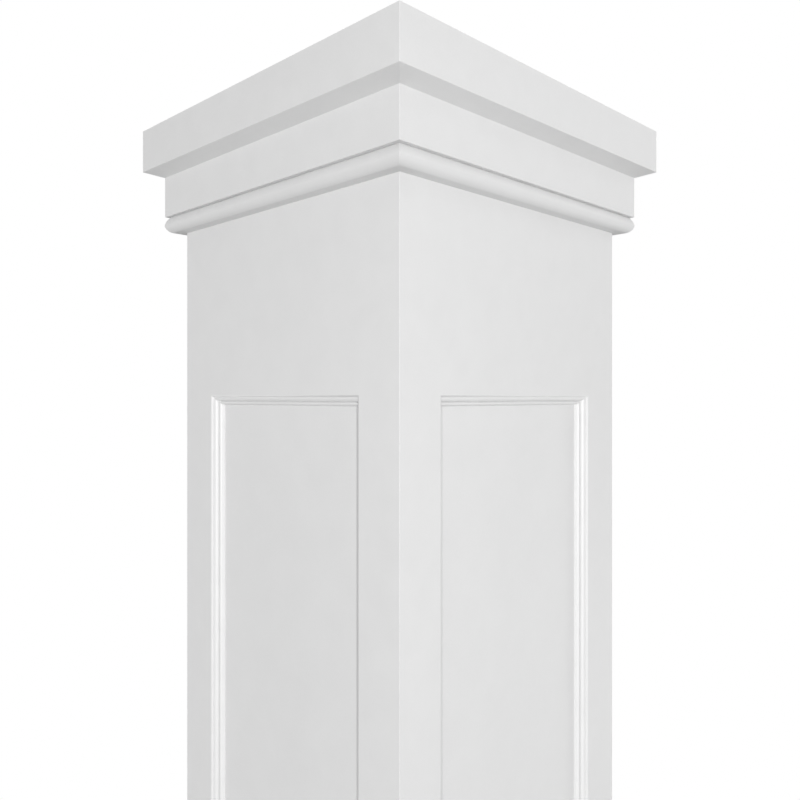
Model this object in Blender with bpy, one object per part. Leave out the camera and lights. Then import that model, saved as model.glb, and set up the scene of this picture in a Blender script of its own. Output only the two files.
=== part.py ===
# Square PVC column wrap: a hollow shaft of four mitred sides, each with a recessed
# panel in a moulded frame, a built-up capital at the top and a plainer base below.
# Metres, +Z up. The origin is the centre of the underside, and front is -Y.

import math

import bmesh
import bpy

# Shaft
SHAFT_WIDTH = 0.3048        # across the faces, 12 in
COLUMN_HEIGHT = 2.4384      # underside to top, 8 ft
WALL = 0.015875             # sheet of the sides, 5/8 in
STILE_WIDTH = 0.0466        # face left on each side of the panel
TOP_RAIL = 0.1664           # face between the neck bead and the panel
BOTTOM_RAIL = 0.1664        # face between the base bead and the panel
PANEL_THICKNESS = 0.0057    # recessed sheet, flush with the back of the frame
PANEL_HELD = 0.0095         # how far the frame laps over the panel's edge

# Moulding round each panel
OUTER_ROUND = 0.0038        # radius of the quarter round next to the frame
SHELF_WIDTH = 0.0016        # flat between the two rounds
INNER_ROUND_WIDTH = 0.0019  # oval quarter next to the panel, along the face
INNER_ROUND_DEPTH = 0.0042  # and back from it

# Capital
TRIM_THICKNESS = 0.015875   # how far each layer of trim stands out from the last
TOP_BAND_FACE = 0.0415      # upright face of the top band
TOP_BAND_DROP = 0.0058      # fall of its underside, from its face back to the neck band
NECK_BAND_FACE = 0.0399     # face of the neck band that shows below the top band
BEAD_HEIGHT = 0.0157        # beads under the neck band and over the base, 5/8 in less their joint
BEAD_WIDEST = 0.0087        # from the band to the widest place of a bead
SHOULDER_REACH = 0.0051     # how far a bead swells out between its band and there
SHOULDER_TURN = 48          # and the degrees that its face turns on the way
NOSE_REACH = 0.0066         # the same on its free side
NOSE_TURN = 60

# Base
PLINTH_HEIGHT = 0.0889      # outer boards, 3 1/2 in
BASE_BAND_FACE = 0.0508     # face of the inner boards that shows above the plinth, 2 in

# Joints and roundness
FIT_GAP = 0.0003            # clearance between pieces that touch
BEAD_STEPS = 8              # straight stretches in each round of a bead
MOULDING_STEPS = 6          # straight stretches in each round of a moulding

# Places that follow from the sizes above
HALF_SHAFT = SHAFT_WIDTH / 2
HALF_NECK = HALF_SHAFT + TRIM_THICKNESS
HALF_TOP = HALF_NECK + TRIM_THICKNESS
MITRE_GAP = FIT_GAP / math.sqrt(2)      # set back on each piece, along its run
TOP_BAND_BOTTOM = COLUMN_HEIGHT - TOP_BAND_FACE
NECK_BAND_BOTTOM = TOP_BAND_BOTTOM - TOP_BAND_DROP - NECK_BAND_FACE
NECK_BEAD_BOTTOM = NECK_BAND_BOTTOM - BEAD_HEIGHT
BASE_BAND_TOP = PLINTH_HEIGHT + BASE_BAND_FACE
BASE_BEAD_TOP = BASE_BAND_TOP + BEAD_HEIGHT
OPENING_HALF_WIDTH = HALF_SHAFT - STILE_WIDTH
OPENING_TOP = NECK_BEAD_BOTTOM - TOP_RAIL
OPENING_BOTTOM = BASE_BEAD_TOP + BOTTOM_RAIL
OPENING_HALF_HEIGHT = (OPENING_TOP - OPENING_BOTTOM) / 2
OPENING_MIDDLE = (OPENING_TOP + OPENING_BOTTOM) / 2
RECESS_DEPTH = WALL - PANEL_THICKNESS

SIDES = ("front", "right", "back", "left")      # each a quarter turn on from the last


def clear_scene():
    for old in list(bpy.data.objects):
        bpy.data.objects.remove(old, do_unlink=True)


def new_collection(name):
    collection = bpy.data.collections.new(name)
    bpy.context.scene.collection.children.link(collection)
    return collection


def pvc_material(name, colour, roughness):
    material = bpy.data.materials.new(name)
    material.use_nodes = True
    surface = material.node_tree.nodes["Principled BSDF"]
    surface.inputs["Base Color"].default_value = (*colour, 1.0)
    surface.inputs["Roughness"].default_value = roughness
    surface.inputs["Metallic"].default_value = 0.0
    return material


def add_object(name, mesh, material, collection, parent):
    if not mesh.materials:
        mesh.materials.append(material)
    piece = bpy.data.objects.new(name, mesh)
    collection.objects.link(piece)
    piece.parent = parent
    return piece


# Round and straight outlines

def swell(widest, end, turn, steps):
    # Points of a round or oval arc, which leaves its widest place along the second axis and
    # has turned through the given degrees when it reaches the end
    whole = math.radians(turn)
    across = (widest[0] - end[0]) / (1 - math.cos(whole))
    up = (end[1] - widest[1]) / math.sin(whole)
    points = []
    for step in range(steps + 1):
        angle = whole * step / steps
        points.append((widest[0] - across * (1 - math.cos(angle)), widest[1] + up * math.sin(angle)))
    return points


def rectangle(inner, outer, low, high):
    return [(inner, low), (outer, low), (outer, high), (inner, high)]


def top_band_outline():
    back = HALF_NECK + FIT_GAP
    return [
        (back, TOP_BAND_BOTTOM - TOP_BAND_DROP),
        (HALF_TOP, TOP_BAND_BOTTOM),
        (HALF_TOP, COLUMN_HEIGHT),
        (back, COLUMN_HEIGHT),
    ]


def bead_outline(seat, free):
    # Flat where it sits on its band and on its free side. Its face swells out to the widest
    # place and falls back to the free side.
    back = HALF_SHAFT + FIT_GAP
    room = HALF_NECK - back - FIT_GAP
    widest = (HALF_NECK, seat + math.copysign(BEAD_WIDEST, free - seat))
    shoulder = swell(widest, (HALF_NECK - min(SHOULDER_REACH, room), seat), SHOULDER_TURN, BEAD_STEPS)
    nose = swell(widest, (HALF_NECK - min(NOSE_REACH, room), free), NOSE_TURN, BEAD_STEPS)
    return [(back, seat)] + shoulder[::-1] + nose[1:] + [(back, free)]


def moulding_outline():
    # A quarter round, a flat shelf and an oval quarter, going in and back. Points are (in from
    # the opening's edge, back from the shaft's face), and the strip lies on the panel.
    back = RECESS_DEPTH - FIT_GAP
    shelf = back - INNER_ROUND_DEPTH
    start = (FIT_GAP, shelf - OUTER_ROUND)
    foot = (FIT_GAP + OUTER_ROUND, shelf)
    edge = (foot[0] + SHELF_WIDTH, shelf)
    outer = swell(foot, start, 90, MOULDING_STEPS)
    inner = swell((edge[0] + INNER_ROUND_WIDTH, back), edge, 90, MOULDING_STEPS)
    return [(FIT_GAP, back)] + outer[::-1] + inner[::-1]


# Solids

def mitred_strip(name, end_outline):
    # The end at +X is given as (x, y, z) points and is extruded to its mirror image at -X
    strip = bmesh.new()
    near_end = strip.faces.new([strip.verts.new(point) for point in end_outline])
    grown = bmesh.ops.extrude_face_region(strip, geom=[near_end])
    for item in grown["geom"]:
        if isinstance(item, bmesh.types.BMVert):
            item.co.x = -item.co.x
    bmesh.ops.recalc_face_normals(strip, faces=strip.faces[:])
    mesh = bpy.data.meshes.new(name)
    strip.to_mesh(mesh)
    strip.free()
    mesh.shade_smooth()
    mesh.set_sharp_from_angle(angle=math.radians(30))
    return mesh


def ring_strip(name, outline):
    # One side of a square ring round the shaft: its mitres meet on the column's diagonals
    return mitred_strip(name, [(out - MITRE_GAP, -out, height) for out, height in outline])


def moulding_strip(name, half_run):
    # One side of a moulding, its mitres meeting in the corners of the opening
    outline = moulding_outline()
    return mitred_strip(name, [(half_run - inset - MITRE_GAP, depth, -inset) for inset, depth in outline])


def box(name, size, centre):
    cube = bmesh.new()
    bmesh.ops.create_cube(cube, size=1.0)
    bmesh.ops.scale(cube, vec=size, verts=cube.verts[:])
    bmesh.ops.translate(cube, vec=centre, verts=cube.verts[:])
    mesh = bpy.data.meshes.new(name)
    cube.to_mesh(mesh)
    cube.free()
    return mesh


def opening_box(name, margin, front, back):
    # A box as large as the panel opening plus a margin, between two depths behind the face
    size = (2 * (OPENING_HALF_WIDTH + margin), back - front, 2 * (OPENING_HALF_HEIGHT + margin))
    return box(name, size, (0, -HALF_SHAFT + (front + back) / 2, OPENING_MIDDLE))


def add_cutter(name, mesh, board, cutters):
    cutter = bpy.data.objects.new(name, mesh)
    cutters.objects.link(cutter)
    cutter.parent = board
    cutter.hide_render = True
    cutter.display_type = "WIRE"
    cut = board.modifiers.new(name, "BOOLEAN")
    cut.operation = "DIFFERENCE"
    cut.solver = "EXACT"
    cut.object = cutter


# The column

def build_column():
    clear_scene()
    parts = new_collection("square_pvc_column")
    cutters = new_collection("cutters")
    column = bpy.data.objects.new("column", None)
    parts.objects.link(column)

    sheet = pvc_material("cellular PVC sheet", (0.80, 0.80, 0.80), 0.42)
    panel = pvc_material("cellular PVC panel", (0.80, 0.80, 0.80), 0.45)
    moulding = pvc_material("extruded PVC panel moulding", (0.82, 0.82, 0.82), 0.38)
    trim = pvc_material("cellular PVC trim board", (0.80, 0.80, 0.80), 0.40)

    frame_board = ring_strip("side_frame", rectangle(HALF_SHAFT - WALL, HALF_SHAFT, 0, COLUMN_HEIGHT))
    window = opening_box("window", 0, -WALL, 2 * WALL)
    rabbet = opening_box("rabbet", PANEL_HELD, RECESS_DEPTH - FIT_GAP, 2 * WALL)
    panel_sheet = opening_box("panel", PANEL_HELD - FIT_GAP, RECESS_DEPTH, WALL)

    neck_back = HALF_SHAFT + FIT_GAP
    plinth_back = HALF_NECK + FIT_GAP
    trims = {
        "cap_top_band": ring_strip("cap_top_band", top_band_outline()),
        "cap_neck_band": ring_strip(
            "cap_neck_band", rectangle(neck_back, HALF_NECK, NECK_BAND_BOTTOM, COLUMN_HEIGHT)),
        "neck_bead": ring_strip(
            "neck_bead", bead_outline(NECK_BAND_BOTTOM - FIT_GAP, NECK_BEAD_BOTTOM)),
        "base_bead": ring_strip(
            "base_bead", bead_outline(BASE_BAND_TOP + FIT_GAP, BASE_BEAD_TOP)),
        "base_band": ring_strip(
            "base_band", rectangle(neck_back, HALF_NECK, 0, BASE_BAND_TOP)),
        "base_plinth": ring_strip(
            "base_plinth", rectangle(plinth_back, HALF_TOP, 0, PLINTH_HEIGHT)),
    }

    # Each moulding's place on the opening's edge, its turn about the face, and its mesh
    level = moulding_strip("moulding_level", OPENING_HALF_WIDTH)
    upright = moulding_strip("moulding_upright", OPENING_HALF_HEIGHT)
    mouldings = {
        "top": ((0, -HALF_SHAFT, OPENING_TOP), 0, level),
        "right": ((OPENING_HALF_WIDTH, -HALF_SHAFT, OPENING_MIDDLE), 90, upright),
        "bottom": ((0, -HALF_SHAFT, OPENING_BOTTOM), 180, level),
        "left": ((-OPENING_HALF_WIDTH, -HALF_SHAFT, OPENING_MIDDLE), -90, upright),
    }

    for quarter, side in enumerate(SIDES):
        turn = bpy.data.objects.new(f"turn_{side}", None)
        parts.objects.link(turn)
        turn.parent = column
        turn.rotation_euler.z = math.radians(90 * quarter)

        board = add_object(f"side_frame_{side}", frame_board, sheet, parts, turn)
        add_cutter(f"window_{side}", window, board, cutters)
        add_cutter(f"rabbet_{side}", rabbet, board, cutters)
        add_object(f"panel_{side}", panel_sheet, panel, parts, turn)
        for edge, (place, angle, mesh) in mouldings.items():
            strip = add_object(f"panel_moulding_{side}_{edge}", mesh, moulding, parts, turn)
            strip.location = place
            strip.rotation_euler.y = math.radians(angle)
        for name, mesh in trims.items():
            add_object(f"{name}_{side}", mesh, trim, parts, turn)


build_column()
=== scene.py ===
import math

import bmesh
import bpy
from mathutils import Matrix


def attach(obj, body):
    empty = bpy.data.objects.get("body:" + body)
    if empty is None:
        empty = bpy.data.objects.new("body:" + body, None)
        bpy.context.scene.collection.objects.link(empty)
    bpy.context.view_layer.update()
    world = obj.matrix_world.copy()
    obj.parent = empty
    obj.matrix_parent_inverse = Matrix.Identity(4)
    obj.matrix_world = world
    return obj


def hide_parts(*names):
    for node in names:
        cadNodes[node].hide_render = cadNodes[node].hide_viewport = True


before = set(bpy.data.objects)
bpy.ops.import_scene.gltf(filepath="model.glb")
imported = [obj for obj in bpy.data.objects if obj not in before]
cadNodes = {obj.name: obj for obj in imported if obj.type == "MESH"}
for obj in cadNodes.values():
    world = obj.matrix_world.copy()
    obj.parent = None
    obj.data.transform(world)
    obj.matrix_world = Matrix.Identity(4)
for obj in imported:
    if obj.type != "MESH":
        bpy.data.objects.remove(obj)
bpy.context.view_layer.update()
scene = bpy.context.scene
sides = ("front", "right", "back", "left")  # each a quarter turn on from the last


# Sizes of the column, in metres
column = {
    "halfShaft": 0.1524,
    "height": 2.4384,
    "board": 0.015875,  # 5/8 in, the shaft's wall and each layer of trim
    "topBandFace": 0.0415,
    "topBandDrop": 0.0058,  # its underside falls this far back to the neck band
    "neckBandFace": 0.0399,  # as much as shows below the top band
    "plinthHeight": 0.0889,
    "baseBandFace": 0.0508,  # as much as shows above the plinth
    "stile": 0.0466,  # from the shaft's corner to the opening
    "rail": 0.1821,  # from the neck band or the base band to the opening
    "recess": 0.010175,  # from the shaft's face to the panel
    "panelHeld": 0.0095,  # the frame laps over the panel's edge
    "cornerRound": 0.0004,  # sanded arris on the mitred corners
}
halfNeck = column["halfShaft"] + column["board"]
halfTop = halfNeck + column["board"]
topBandBottom = column["height"] - column["topBandFace"]
neckBandBottom = topBandBottom - column["topBandDrop"] - column["neckBandFace"]
baseBandTop = column["plinthHeight"] + column["baseBandFace"]
openingHalfWidth = column["halfShaft"] - column["stile"]
openingTop = neckBandBottom - column["rail"]
openingBottom = baseBandTop + column["rail"]


# Camera
# Level, and turned 45 degrees to look at the near corner. The sensor is shifted, not tilted,
# so the uprights stay parallel.
photoView = {
    "azimuth": 45.0,
    "distance": 0.78531,
    "eyeHeight": 2.1694,
    "lens": 34.8525,
    "sensor": 36.0,
    "shift": (0.0004375, -0.0040625),
    "clipStart": 0.01,
}


def addCamera(settings):
    camera = bpy.data.objects.new("photoCamera", bpy.data.cameras.new("photoCamera"))
    scene.collection.objects.link(camera)
    camera.data.sensor_width = settings["sensor"]
    camera.data.lens = settings["lens"]
    camera.data.shift_x, camera.data.shift_y = settings["shift"]
    camera.data.clip_start = settings["clipStart"]
    turn = math.radians(settings["azimuth"])
    camera.location = (
        settings["distance"] * math.sin(turn),
        -settings["distance"] * math.cos(turn),
        settings["eyeHeight"],
    )
    camera.rotation_euler = (math.radians(90), 0, turn)
    scene.camera = camera


addCamera(photoView)
print("Camera placed")


# Materials
def linearColour(hexColour):
    # sRGB hex to linear red, green and blue, with an alpha of 1
    channels = [int(hexColour[i:i + 2], 16) / 255 for i in (0, 2, 4)]
    return tuple(c / 12.92 if c <= 0.04045 else ((c + 0.055) / 1.055) ** 2.4 for c in channels) + (1.0,)


def addNode(tree, kind, settings=None, inputs=None):
    # settings are the node's own properties. An input is a plain value, another node's output,
    # or another node, which stands for its first output.
    node = tree.nodes.new(kind)
    for name, value in (settings or {}).items():
        setattr(node, name, value)
    for socket, value in (inputs or {}).items():
        if isinstance(value, bpy.types.Node):
            value = value.outputs[0]
        if isinstance(value, bpy.types.NodeSocket):
            tree.links.new(value, node.inputs[socket])
        else:
            node.inputs[socket].default_value = value
    return node


def emptyMaterial(name):
    material = bpy.data.materials.new(name)
    material.use_nodes = True
    material.node_tree.nodes.clear()
    return material, material.node_tree


# Cellular PVC is a foam with a closed, satin skin. To the eye it is a clean neutral white: the
# skin clouds very slightly where cells lie close under it, the calender rolls leave a shallow
# waviness and a fine satin tooth, and a sawn end is more matt.
pvcSkin = {
    "ior": 1.53,
    "specular": 0.5,
    "cloudShare": 0.65,  # of the mottle, and the cells give the rest
    "mottleRange": (0.35, 0.65),  # where the mottle goes from shade to white
    "glossRange": (0.3, 0.7),  # where the clouds go from the first roughness to the second
    "sawnDepth": 0.0002,  # surfaces this near the top of the column are sawn
    "sawnRoughness": 0.3,  # added where they are
}
sheetFinish = {
    "white": "E8E8E8",
    "shade": "E5E5E5",
    "sawnEnd": "E2E2E0",
    "roughness": (0.44, 0.52),
    "cloudSize": 0.030,  # 30 mm clouds in the skin
    "cellSize": 0.0012,  # cells are 0.2 mm, drawn at 1.2 mm so that they show at all
    "drawSize": (0.0030, 0.0030, 0.120),  # faint calender lines run up the board
    "waveSize": 0.045,
    "waveDepth": 0.00003,
    "drawDepth": 0.000002,
    "toothDepth": 0.000003,
}
panelFinish = dict(
    sheetFinish,
    cloudSize=0.038,
    roughness=(0.46, 0.54),
    waveSize=0.060,
    waveDepth=0.00005,
)
mouldingFinish = dict(
    sheetFinish,
    white="EAEAEA",
    shade="E7E7E7",
    cloudSize=0.020,
    roughness=(0.38, 0.46),
    drawSize=(0.0012, 0.0012, 0.0012),
    waveSize=0.030,
    waveDepth=0.00001,
)
trimFinish = dict(
    sheetFinish,
    cloudSize=0.025,
    roughness=(0.42, 0.50),
    drawSize=(0.060, 0.060, 0.0012),
)


def makePvc(name, finish):
    material, tree = emptyMaterial(name)
    place = addNode(tree, "ShaderNodeTexCoord").outputs["Object"]

    clouds = addNode(tree, "ShaderNodeTexNoise", inputs={
        "Vector": place, "Scale": 1.0 / finish["cloudSize"], "Detail": 3.0, "Roughness": 0.55})
    speckle = addNode(tree, "ShaderNodeTexNoise", inputs={
        "Vector": place, "Scale": 1.0 / finish["cellSize"], "Detail": 2.0, "Roughness": 0.5})
    drawn = addNode(tree, "ShaderNodeMapping", {"vector_type": "POINT"}, {
        "Vector": place, "Scale": tuple(1.0 / size for size in finish["drawSize"])})
    drawLines = addNode(tree, "ShaderNodeTexNoise", inputs={
        "Vector": drawn, "Scale": 1.0, "Detail": 2.0, "Roughness": 0.6})

    # Clouds and cells together make the mottle
    share = pvcSkin["cloudShare"]
    cloudPart = addNode(tree, "ShaderNodeMath", {"operation": "MULTIPLY"}, {0: clouds, 1: share})
    mottle = addNode(tree, "ShaderNodeMath", {"operation": "MULTIPLY_ADD"}, {
        0: speckle, 1: 1.0 - share, 2: cloudPart})
    low, high = pvcSkin["mottleRange"]
    spread = addNode(tree, "ShaderNodeMapRange", inputs={
        "Value": mottle, "From Min": low, "From Max": high, "To Min": 0.0, "To Max": 1.0})
    colour = addNode(tree, "ShaderNodeMix", {"data_type": "RGBA"}, {
        0: spread, 6: linearColour(finish["shade"]), 7: linearColour(finish["white"])})
    low, high = pvcSkin["glossRange"]
    gloss = addNode(tree, "ShaderNodeMapRange", inputs={
        "Value": clouds, "From Min": low, "From Max": high,
        "To Min": finish["roughness"][0], "To Max": finish["roughness"][1]})

    # The sawn ends that show are only at the very top of the column
    apart = addNode(tree, "ShaderNodeSeparateXYZ", inputs={0: place})
    sawn = addNode(tree, "ShaderNodeMath", {"operation": "GREATER_THAN"}, {
        0: apart.outputs["Z"], 1: column["height"] - pvcSkin["sawnDepth"]})
    endTone = addNode(tree, "ShaderNodeMix", {"data_type": "RGBA"}, {
        0: sawn, 6: colour.outputs[2], 7: linearColour(finish["sawnEnd"])})
    endGloss = addNode(tree, "ShaderNodeMath", {"operation": "MULTIPLY_ADD", "use_clamp": True}, {
        0: sawn, 1: pvcSkin["sawnRoughness"], 2: gloss})

    # Waviness, calender lines and tooth, each on top of the last
    wavy = addNode(tree, "ShaderNodeTexNoise", inputs={
        "Vector": place, "Scale": 1.0 / finish["waveSize"], "Detail": 1.0, "Roughness": 0.4})
    waves = addNode(tree, "ShaderNodeBump", inputs={
        "Strength": 1.0, "Distance": finish["waveDepth"], "Height": wavy})
    lines = addNode(tree, "ShaderNodeBump", inputs={
        "Strength": 1.0, "Distance": finish["drawDepth"], "Height": drawLines, "Normal": waves})
    tooth = addNode(tree, "ShaderNodeBump", inputs={
        "Strength": 1.0, "Distance": finish["toothDepth"], "Height": speckle, "Normal": lines})

    surface = addNode(tree, "ShaderNodeBsdfPrincipled", inputs={
        "IOR": pvcSkin["ior"], "Metallic": 0.0, "Specular IOR Level": pvcSkin["specular"],
        "Base Color": endTone.outputs[2], "Roughness": endGloss, "Normal": tooth})
    addNode(tree, "ShaderNodeOutputMaterial", inputs={"Surface": surface})
    return material


pvcSheet = makePvc("cellularPvcCalenderedSheet", sheetFinish)
pvcPanel = makePvc("cellularPvcThinSheet", panelFinish)
pvcMoulding = makePvc("foamPvcExtrudedMoulding", mouldingFinish)
pvcTrim = makePvc("cellularPvcMilledTrim", trimFinish)
print("Materials made")


# Outlines
# Points are (out from the column's axis, height), in metres.
def ovalQuarter(start, end, firstAcross, steps, fullness=2.0):
    # A quarter of an oval from start to end, leaving start square across when firstAcross is
    # true. A fullness under 2 makes it flatter in the middle.
    points = []
    for step in range(steps + 1):
        angle = math.radians(90 * step / steps)
        early = math.sin(angle) ** (2 / fullness)
        late = 1 - max(0.0, math.cos(angle)) ** (2 / fullness)
        across, up = (early, late) if firstAcross else (late, early)
        points.append((start[0] + (end[0] - start[0]) * across, start[1] + (end[1] - start[1]) * up))
    return points


def easedCorner(corner, before, after, radius, steps):
    # The corner rounded with a small radius, between the straight runs to before and after
    def toward(target):
        reach = math.dist(corner, target)
        return ((target[0] - corner[0]) / reach, (target[1] - corner[1]) / reach)

    a, b = toward(before), toward(after)
    half = math.acos(max(-1, min(1, a[0] * b[0] + a[1] * b[1]))) / 2
    setBack = radius / math.tan(half)
    middle = (a[0] + b[0], a[1] + b[1])
    size = math.hypot(*middle)
    away = radius / math.sin(half)
    centre = (corner[0] + middle[0] / size * away, corner[1] + middle[1] / size * away)
    first = (corner[0] + a[0] * setBack - centre[0], corner[1] + a[1] * setBack - centre[1])
    last = (corner[0] + b[0] * setBack - centre[0], corner[1] + b[1] * setBack - centre[1])
    turn = math.atan2(first[0] * last[1] - first[1] * last[0], first[0] * last[0] + first[1] * last[1])
    points = []
    for step in range(steps + 1):
        angle = turn * step / steps
        c, s = math.cos(angle), math.sin(angle)
        points.append((centre[0] + first[0] * c - first[1] * s, centre[1] + first[0] * s + first[1] * c))
    return points


def easedOutline(points, eased, radius, steps):
    # The corners whose numbers are in eased get a small round, the others stay sharp
    outline = []
    for number, corner in enumerate(points):
        if number in eased:
            before, after = points[number - 1], points[(number + 1) % len(points)]
            outline += easedCorner(corner, before, after, radius, steps)
        else:
            outline.append(corner)
    return outline


# Strips made with Geometry Nodes
# One strip of a mitred frame or ring: the outline is carried along a straight run, and both ends
# are cut back along the mitre. On a ring the corner's arris is rounded as far as the mitre.
def stripTree():
    tree = bpy.data.node_groups.new("mitredStrip", "GeometryNodeTree")
    tree.is_modifier = True
    for name, kind in (
        ("Outline", "NodeSocketGeometry"),
        ("Half run", "NodeSocketFloat"),  # half length of the strip at out = 0 or height = 0
        ("Mitre slope", "NodeSocketVector"),  # growth of the half run per metre out and up
        ("Corner round", "NodeSocketFloat"),
        ("Round steps", "NodeSocketInt"),
        ("Crease angle", "NodeSocketFloat"),
        ("Finish", "NodeSocketMaterial"),
    ):
        tree.interface.new_socket(name, in_out="INPUT", socket_type=kind)
    tree.interface.new_socket("Strip", in_out="OUTPUT", socket_type="NodeSocketGeometry")
    group = addNode(tree, "NodeGroupInput").outputs
    steps, cornerRound = group["Round steps"], group["Corner round"]

    # The outline remembers where its points were
    place = addNode(tree, "GeometryNodeInputPosition")
    outline = addNode(tree, "GeometryNodeMeshToCurve", inputs={"Mesh": group["Outline"]})
    keptOutline = addNode(tree, "GeometryNodeCaptureAttribute", {"domain": "POINT"})
    keptOutline.capture_items.new("VECTOR", "place")
    tree.links.new(outline.outputs[0], keptOutline.inputs[0])
    tree.links.new(place.outputs[0], keptOutline.inputs[1])

    # The run has a few points at each end, which know their end and their turn round the corner
    count = addNode(tree, "ShaderNodeMath", {"operation": "MULTIPLY_ADD"}, {0: steps, 1: 2.0, 2: 2.0})
    line = addNode(tree, "GeometryNodeCurvePrimitiveLine", inputs={
        "Start": (-1.0, 0.0, 0.0), "End": (1.0, 0.0, 0.0)})
    run = addNode(tree, "GeometryNodeResampleCurve", inputs={"Curve": line, "Count": count})
    index = addNode(tree, "GeometryNodeInputIndex")
    middleIndex = addNode(tree, "ShaderNodeMath", {"operation": "ADD"}, {0: steps, 1: 0.5})
    farEnd = addNode(tree, "ShaderNodeMath", {"operation": "GREATER_THAN"}, {0: index, 1: middleIndex})
    end = addNode(tree, "ShaderNodeMath", {"operation": "MULTIPLY_ADD"}, {0: farEnd, 1: 2.0, 2: -1.0})
    fromMiddle = addNode(tree, "ShaderNodeMath", {"operation": "SUBTRACT"}, {0: index, 1: middleIndex})
    eitherWay = addNode(tree, "ShaderNodeMath", {"operation": "ABSOLUTE"}, {0: fromMiddle})
    step = addNode(tree, "ShaderNodeMath", {"operation": "SUBTRACT"}, {0: eitherWay, 1: 0.5})
    someSteps = addNode(tree, "ShaderNodeMath", {"operation": "MAXIMUM"}, {0: steps, 1: 1.0})
    share = addNode(tree, "ShaderNodeMath", {"operation": "DIVIDE"}, {0: step, 1: someSteps})
    turn = addNode(tree, "ShaderNodeMath", {"operation": "MULTIPLY"}, {0: share, 1: math.radians(45)})
    keptRun = addNode(tree, "GeometryNodeCaptureAttribute", {"domain": "POINT"})
    keptRun.capture_items.new("FLOAT", "end")
    keptRun.capture_items.new("FLOAT", "turn")
    tree.links.new(run.outputs[0], keptRun.inputs[0])
    tree.links.new(end.outputs[0], keptRun.inputs[1])
    tree.links.new(turn.outputs[0], keptRun.inputs[2])

    strip = addNode(tree, "GeometryNodeCurveToMesh", inputs={
        "Curve": keptRun, "Profile Curve": keptOutline, "Fill Caps": True})

    # Each point goes to its place on the outline, at its end of the strip
    apart = addNode(tree, "ShaderNodeSeparateXYZ", inputs={0: keptOutline.outputs[1]}).outputs
    slope = addNode(tree, "ShaderNodeSeparateXYZ", inputs={0: group["Mitre slope"]}).outputs
    sine = addNode(tree, "ShaderNodeMath", {"operation": "SINE"}, {0: keptRun.outputs[2]})
    cosine = addNode(tree, "ShaderNodeMath", {"operation": "COSINE"}, {0: keptRun.outputs[2]})
    middle = addNode(tree, "ShaderNodeMath", {"operation": "SUBTRACT"}, {0: apart["X"], 1: cornerRound})
    across = addNode(tree, "ShaderNodeMath", {"operation": "MULTIPLY_ADD"}, {
        0: sine, 1: cornerRound, 2: middle})
    out = addNode(tree, "ShaderNodeMath", {"operation": "MULTIPLY_ADD"}, {
        0: cosine, 1: cornerRound, 2: middle})
    reach = addNode(tree, "ShaderNodeMath", {"operation": "MULTIPLY_ADD"}, {
        0: across, 1: slope["X"], 2: group["Half run"]})
    fullReach = addNode(tree, "ShaderNodeMath", {"operation": "MULTIPLY_ADD"}, {
        0: apart["Y"], 1: slope["Y"], 2: reach})
    x = addNode(tree, "ShaderNodeMath", {"operation": "MULTIPLY"}, {0: fullReach, 1: keptRun.outputs[1]})
    y = addNode(tree, "ShaderNodeMath", {"operation": "MULTIPLY"}, {0: out, 1: -1.0})
    put = addNode(tree, "ShaderNodeCombineXYZ", inputs={"X": x, "Y": y, "Z": apart["Y"]})
    shaped = addNode(tree, "GeometryNodeSetPosition", inputs={"Geometry": strip, "Position": put})

    # Smooth all over but for the edges that turn more than the crease angle
    smooth = addNode(tree, "GeometryNodeSetShadeSmooth", {"domain": "FACE"}, {
        "Geometry": shaped, "Shade Smooth": True})
    edgeAngle = addNode(tree, "GeometryNodeInputMeshEdgeAngle")
    creased = addNode(tree, "ShaderNodeMath", {"operation": "GREATER_THAN"}, {
        0: edgeAngle, 1: group["Crease angle"]})
    sharp = addNode(tree, "GeometryNodeSetShadeSmooth", {"domain": "EDGE"}, {
        "Geometry": smooth, "Selection": creased, "Shade Smooth": False})
    real = addNode(tree, "GeometryNodeRealizeInstances", inputs={0: sharp})
    dressed = addNode(tree, "GeometryNodeSetMaterial", inputs={"Geometry": real, "Material": group["Finish"]})
    addNode(tree, "NodeGroupOutput", inputs={0: dressed})
    return tree


mitredStrip = stripTree()


def outlineMesh(outline):
    # The outline as a closed loop of edges, with out along X and height along Y
    mesh = bpy.data.meshes.new("outline")
    count = len(outline)
    edges = [(i, (i + 1) % count) for i in range(count)]
    mesh.from_pydata([(out, up, 0) for out, up in outline], edges, [])
    return mesh


def plainMesh(piece):
    # What the piece's modifiers make, as a mesh of its own
    bpy.context.view_layer.update()
    graph = bpy.context.evaluated_depsgraph_get()
    return bpy.data.meshes.new_from_object(
        piece.evaluated_get(graph), preserve_all_data_layers=True, depsgraph=graph)


def evenNormals(piece):
    # Broad faces keep their own direction right up to a small round
    weights = piece.modifiers.new("evenNormals", "WEIGHTED_NORMAL")
    weights.mode = "FACE_AREA"
    weights.weight = 100  # as far towards the broad face as it goes
    weights.keep_sharp = True


def runStrip(outline, finish, values):
    # values are the tree's named inputs. The strip's faces point outwards, whichever way round
    # the outline goes.
    piece = bpy.data.objects.new("strip", outlineMesh(outline))
    scene.collection.objects.link(piece)
    nodes = piece.modifiers.new("mitredStrip", "NODES")
    nodes.node_group = mitredStrip
    sockets = {s.name: s.identifier for s in mitredStrip.interface.items_tree if s.in_out == "INPUT"}
    for name, value in values.items():
        nodes[sockets[name]] = value
    nodes[sockets["Finish"]] = finish
    strip = plainMesh(piece)
    bpy.data.objects.remove(piece)

    solid = bmesh.new()
    solid.from_mesh(strip)
    if solid.calc_volume(signed=True) < 0:
        bmesh.ops.reverse_faces(solid, faces=solid.faces[:])
    solid.to_mesh(strip)
    solid.free()
    return strip


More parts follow.
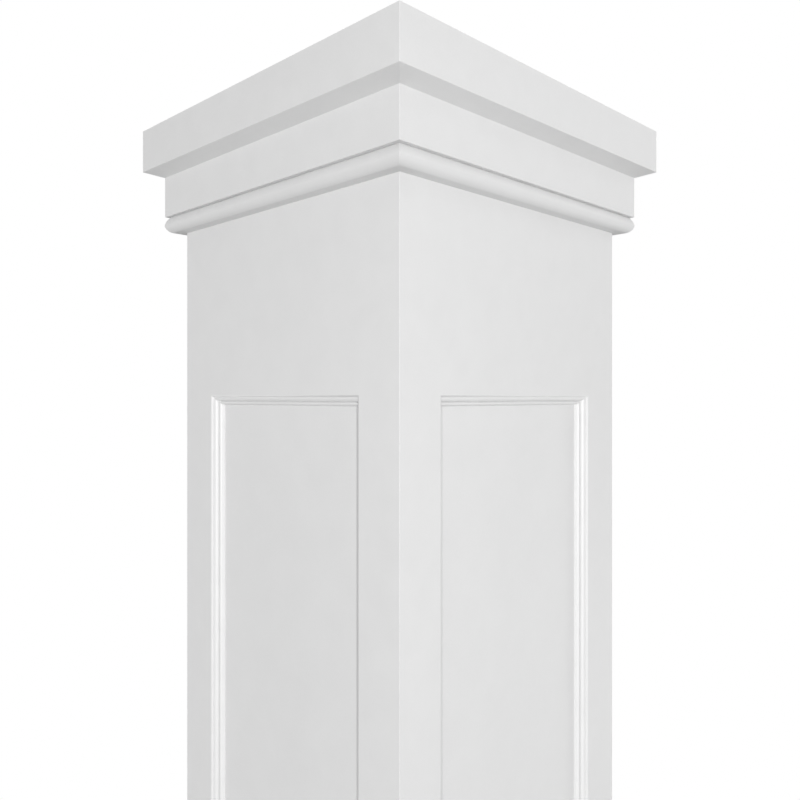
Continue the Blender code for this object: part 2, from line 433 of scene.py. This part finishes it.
def addPiece(name, mesh, slot, *replaced):
    # The finished piece, on the column's one body and in place of its CAD node
    mesh.name = name
    piece = bpy.data.objects.new(name, mesh)
    scene.collection.objects.link(piece)
    evenNormals(piece)
    smoothed = plainMesh(piece)
    piece.modifiers.clear()
    piece.data = smoothed
    smoothed.name = name
    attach(piece, "root")
    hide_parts(*replaced)


def quarterCopies(mesh):
    # The same mesh on each of the four sides
    for quarter, side in enumerate(sides):
        copy = mesh.copy()
        copy.transform(Matrix.Rotation(math.radians(90 * quarter), 4, "Z"))
        yield side, copy


# Shaft
sideBoard = {
    "openingRound": 0.0018,  # rounded edge of the opening
    "roundSteps": 8,
    "creaseAngle": 40,
}


def rectangleLoop(halfWidth, low, high, y):
    return [(-halfWidth, y, low), (halfWidth, y, low), (halfWidth, y, high), (-halfWidth, y, high)]


def loopsMesh(name, loops, finish, creaseAngle):
    # A closed skin over a ring of rectangles, each joined to the next and the last to the first
    skin = bmesh.new()
    rings = [[skin.verts.new(point) for point in loop] for loop in loops]
    for ring, following in zip(rings, rings[1:] + rings[:1]):
        for i in range(4):
            j = (i + 1) % 4
            skin.faces.new((ring[i], ring[j], following[j], following[i]))
    bmesh.ops.recalc_face_normals(skin, faces=skin.faces[:])
    mesh = bpy.data.meshes.new(name)
    skin.to_mesh(mesh)
    skin.free()
    mesh.materials.append(finish)
    mesh.shade_smooth()
    mesh.set_sharp_from_angle(angle=math.radians(creaseAngle))
    return mesh


def sideBoardMesh(settings):
    half, wall, height = column["halfShaft"], column["board"], column["height"]
    arris, steps = settings["openingRound"], settings["roundSteps"]
    corner = column["cornerRound"]

    def openingLoop(margin, depth):
        return rectangleLoop(
            openingHalfWidth + margin, openingBottom - margin, openingTop + margin, -half + depth)

    # In round the opening's edge, back behind the panel's edge, then out round the corners
    loops = []
    for step in range(steps + 1):
        angle = math.radians(90 * step / steps)
        loops.append(openingLoop(arris * (1 - math.sin(angle)), arris * (1 - math.cos(angle))))
    loops.append(openingLoop(0, column["recess"]))
    loops.append(openingLoop(column["panelHeld"], column["recess"]))
    loops.append(openingLoop(column["panelHeld"], wall))
    loops.append(rectangleLoop(half - wall, 0, height, -(half - wall)))
    for step in range(steps, -1, -1):
        angle = math.radians(45 * step / steps)
        halfWidth = half - corner + corner * math.sin(angle)
        loops.append(rectangleLoop(halfWidth, 0, height, -(half - corner + corner * math.cos(angle))))
    return loopsMesh("sideBoard", loops, pvcSheet, settings["creaseAngle"])


for side, mesh in quarterCopies(sideBoardMesh(sideBoard)):
    addPiece(f"sideBoard_{side}", mesh, "pvc_sheet", f"side_frame_{side}")
print("Side boards made")


# Recessed panels
# These are the CAD model's flat sheets as they are, in a finish of their own.
for side in sides:
    for slot in cadNodes[f"panel_{side}"].material_slots:
        slot.material = pvcPanel
print("Panels finished")


# Panel moulding
panelMoulding = {
    "outerRound": 0.0037,  # radius of the quarter round next to the frame
    "quirk": (0.0008, 0.0015),  # width and depth of the narrow groove at its foot
    "quirkLean": 0.00005,  # each wall of the groove leans this much
    "shelf": 0.00105,  # flat before the inner round
    "innerRound": (0.0019, 0.0042),  # width and depth of the oval quarter next to the panel
    "innerFullness": 1.65,
    "steps": 14,
    "creaseAngle": 30,
}


def mouldingOutline(settings):
    # Here out is the depth behind the shaft's face with its sign turned, and height is the
    # distance in from the opening's edge with its sign turned
    steps = settings["steps"]
    width, fall = settings["innerRound"]
    radius = settings["outerRound"]
    lean = settings["quirkLean"]
    shelf = -column["recess"] + fall
    outer = ovalQuarter((shelf + radius, 0), (shelf, -radius), False, steps)
    groove, depth = settings["quirk"]
    quirk = [
        (shelf - depth, -radius - lean),
        (shelf - depth, -radius - groove),
        (shelf, -radius - groove - lean),
    ]
    start = -radius - groove - settings["shelf"]
    inner = ovalQuarter(
        (shelf, start), (-column["recess"], start - width), False, steps, settings["innerFullness"])
    return [(-column["recess"], 0)] + outer + quirk + inner


def mouldingMeshes(settings):
    # Level and upright lengths for the opening on the front
    outline = mouldingOutline(settings)
    middle = (openingTop + openingBottom) / 2
    halfHeight = (openingTop - openingBottom) / 2
    lengths = {}
    for edge, turn, halfRun, offset in (
        ("top", 0, openingHalfWidth, halfHeight),
        ("right", 90, halfHeight, openingHalfWidth),
        ("bottom", 180, openingHalfWidth, halfHeight),
        ("left", -90, halfHeight, openingHalfWidth),
    ):
        mesh = runStrip(outline, pvcMoulding, {
            "Half run": halfRun,
            "Mitre slope": (0.0, 1.0, 0.0),
            "Corner round": 0.0,
            "Round steps": 0,
            "Crease angle": math.radians(settings["creaseAngle"]),
        })
        mesh.transform(Matrix.Translation((0, -column["halfShaft"], middle))
                       @ Matrix.Rotation(math.radians(turn), 4, "Y")
                       @ Matrix.Translation((0, 0, offset)))
        lengths[edge] = mesh
    return lengths


for edge, length in mouldingMeshes(panelMoulding).items():
    for side, mesh in quarterCopies(length):
        addPiece(f"panelMoulding_{side}_{edge}", mesh, "pvc_moulding", f"panel_moulding_{side}_{edge}")
print("Panel mouldings made")


# Capital and base
trim = {
    "capitalArris": 0.0004,
    "baseArris": 0.0006,
    "arrisSteps": 4,
    "cornerSteps": 3,
    "creaseAngle": 40,
}
bead = {
    "height": 0.016,
    "standOut": 0.0003,  # its widest place is this far out from the band's face
    "widest": 0.0087,  # from the band to its widest place
    "shoulder": (0.0051, 1.475),  # how far it draws in to the band, and the fullness of that side
    "nose": (0.0066, 1.64),  # the same on its free side
    "steps": 16,
}


def beadOutline(seat, free, settings):
    # From the face of its band, at seat, round to its free side
    inner, outer, steps = column["halfShaft"], halfNeck + settings["standOut"], settings["steps"]
    widest = (outer, seat + math.copysign(settings["widest"], free - seat))
    reach, fullness = settings["shoulder"]
    shoulder = ovalQuarter((outer - reach, seat), widest, True, steps, fullness)
    reach, fullness = settings["nose"]
    nose = ovalQuarter(widest, (outer - reach, free), False, steps, fullness)
    return [(inner, seat)] + shoulder + nose[1:] + [(inner, free)]


def bandOutline(inner, outer, low, high, eased, arris, drop=0.0):
    # Corners 1 and 2 are the lower and the upper one on its face
    corners = [(inner, low - drop), (outer, low), (outer, high), (inner, high)]
    return easedOutline(corners, eased, arris, trim["arrisSteps"])


def addRing(nodeName, pieceName, outline):
    ring = runStrip(outline, pvcTrim, {
        "Half run": 0.0,
        "Mitre slope": (1.0, 0.0, 0.0),
        "Corner round": column["cornerRound"],
        "Round steps": trim["cornerSteps"],
        "Crease angle": math.radians(trim["creaseAngle"]),
    })
    for side, mesh in quarterCopies(ring):
        addPiece(f"{pieceName}_{side}", mesh, "pvc_trim", f"{nodeName}_{side}")


def addCapital():
    half, top, arris = column["halfShaft"], column["height"], trim["capitalArris"]
    addRing("cap_top_band", "topBand", bandOutline(
        halfNeck, halfTop, topBandBottom, top, (1, 2), arris, column["topBandDrop"]))
    addRing("cap_neck_band", "neckBand", bandOutline(half, halfNeck, neckBandBottom, top, (1,), arris))
    addRing("neck_bead", "neckBead", beadOutline(neckBandBottom, neckBandBottom - bead["height"], bead))


def addBase():
    half, arris = column["halfShaft"], trim["baseArris"]
    addRing("base_bead", "baseBead", beadOutline(baseBandTop, baseBandTop + bead["height"], bead))
    addRing("base_band", "baseBand", bandOutline(half, halfNeck, 0, baseBandTop, (2,), arris))
    addRing("base_plinth", "plinth", bandOutline(
        halfNeck, halfTop, 0, column["plinthHeight"], (1, 2), arris))


addCapital()
addBase()
print("Capital and base made")


# Floor
studioFloor = {
    "radius": 2.3,
    "segments": 96,
    "white": "F2F2F0",
    "shade": "EEEEEC",
    "roughness": 0.85,
    "cloudScale": 3.0,  # clouds of about 330 mm
    "stippleScale": 400.0,  # roller stipple of 2.5 mm
    "stippleDepth": 0.00005,
}


def makeFloorPaint(settings):
    # Matt pale studio floor paint, rolled on, with a faint cloudiness
    material, tree = emptyMaterial("mattRolledFloorPaint")
    place = addNode(tree, "ShaderNodeTexCoord").outputs["Object"]
    clouds = addNode(tree, "ShaderNodeTexNoise", inputs={
        "Vector": place, "Scale": settings["cloudScale"], "Detail": 4.0})
    colour = addNode(tree, "ShaderNodeMix", {"data_type": "RGBA"}, {
        0: clouds, 6: linearColour(settings["shade"]), 7: linearColour(settings["white"])})
    stipple = addNode(tree, "ShaderNodeTexNoise", inputs={
        "Vector": place, "Scale": settings["stippleScale"]})
    bump = addNode(tree, "ShaderNodeBump", inputs={
        "Distance": settings["stippleDepth"], "Height": stipple})
    surface = addNode(tree, "ShaderNodeBsdfPrincipled", inputs={
        "Roughness": settings["roughness"], "Base Color": colour.outputs[2], "Normal": bump})
    addNode(tree, "ShaderNodeOutputMaterial", inputs={"Surface": surface})
    return material


def addFloor(settings):
    disc = bmesh.new()
    bmesh.ops.create_circle(disc, cap_ends=True, segments=settings["segments"], radius=settings["radius"])
    mesh = bpy.data.meshes.new("studioFloor")
    disc.to_mesh(mesh)
    disc.free()
    mesh.materials.append(makeFloorPaint(settings))
    floor = bpy.data.objects.new("studioFloor", mesh)
    scene.collection.objects.link(floor)
    floor.visible_diffuse = False  # the room's own light stands in for what the floor throws back


addFloor(studioFloor)
print("Floor laid")


# Light
# A white room gives light from all round. Two small lamps stand 8 degrees to either side of the
# camera, level with the capital, and a nearer one between them falls off with distance. The rest
# is soft, from white boards in front, to the right, to the left and behind, and from overhead.
room = {
    "backdrop": 1.0,  # white that the camera sees
    "surround": 0.3745,  # light from the walls, floor and ceiling
}
farLamps = {
    # Turn to the right of the camera, elevation and spread are in degrees
    "lampRight": {"turn": 8, "elevation": 0, "spread": 3, "strength": 0.808},
    "lampLeft": {"turn": -8, "elevation": 0, "spread": 3, "strength": 0.635},
    "boardHigh": {"turn": 0, "elevation": 45, "spread": 24, "strength": 0.112},
    "boardLow": {"turn": -25, "elevation": -20, "spread": 24, "strength": 0.140},
    "boardRight": {"turn": 110, "elevation": 2, "spread": 24, "strength": 0.124},
    "boardHighRight": {"turn": 110, "elevation": 22, "spread": 24, "strength": 0.228},
    "boardLowRight": {"turn": 110, "elevation": -20, "spread": 24, "strength": 0.242},
    "boardLeft": {"turn": -110, "elevation": 2, "spread": 24, "strength": 0.086},
    "boardLowLeft": {"turn": -110, "elevation": -20, "spread": 24, "strength": 0.088},
    "boardBehind": {"turn": 160, "elevation": 20, "spread": 24, "strength": 1.4},  # for the back
    "overhead": {"turn": 0, "elevation": 90, "spread": 10, "strength": 1.4},  # for the floor
}
nearLamp = {
    "turn": 5,
    "elevation": 0,
    "distance": 1.0,
    "size": 0.06,
    "watts": 1.55,
}
lampsAim = 2.17  # height of the place on the column that all the lamps point at
farDistance = 3.0  # far lamps shine alike at any distance


def addRoom(settings):
    # What the camera sees is set apart from the light that the room gives
    world = bpy.data.worlds.new("studioRoom")
    scene.world = world
    world.use_nodes = True
    tree = world.node_tree
    tree.nodes.clear()
    seen = addNode(tree, "ShaderNodeLightPath").outputs["Is Camera Ray"]
    white = linearColour("FFFFFF")
    backdrop = addNode(tree, "ShaderNodeBackground", inputs={
        "Color": white, "Strength": settings["backdrop"]})
    surround = addNode(tree, "ShaderNodeBackground", inputs={
        "Color": white, "Strength": settings["surround"]})
    mixed = addNode(tree, "ShaderNodeMixShader", inputs={0: seen, 1: surround, 2: backdrop})
    addNode(tree, "ShaderNodeOutputWorld", inputs={"Surface": mixed})


def addLamp(name, lamp, turn, elevation, distance):
    # The lamp points at the column from its azimuth and elevation
    light = bpy.data.objects.new(name, lamp)
    scene.collection.objects.link(light)
    azimuth, rise = math.radians(photoView["azimuth"] + turn), math.radians(elevation)
    light.location = (
        distance * math.cos(rise) * math.sin(azimuth),
        -distance * math.cos(rise) * math.cos(azimuth),
        lampsAim + distance * math.sin(rise),
    )
    light.rotation_euler = (math.radians(90) - rise, 0, azimuth)


def addFarLamp(name, settings):
    lamp = bpy.data.lights.new(name, "SUN")
    lamp.angle = math.radians(settings["spread"])
    lamp.energy = settings["strength"]
    addLamp(name, lamp, settings["turn"], settings["elevation"], farDistance)


def addNearLamp(name, settings):
    lamp = bpy.data.lights.new(name, "AREA")
    lamp.shape = "SQUARE"
    lamp.size = settings["size"]
    lamp.energy = settings["watts"]
    addLamp(name, lamp, settings["turn"], settings["elevation"], settings["distance"])


addRoom(room)
for lampName, lampSettings in farLamps.items():
    addFarLamp(lampName, lampSettings)
addNearLamp("nearLamp", nearLamp)

scene.view_settings.view_transform = "Standard"
scene.view_settings.look = "None"
print("Studio lit")
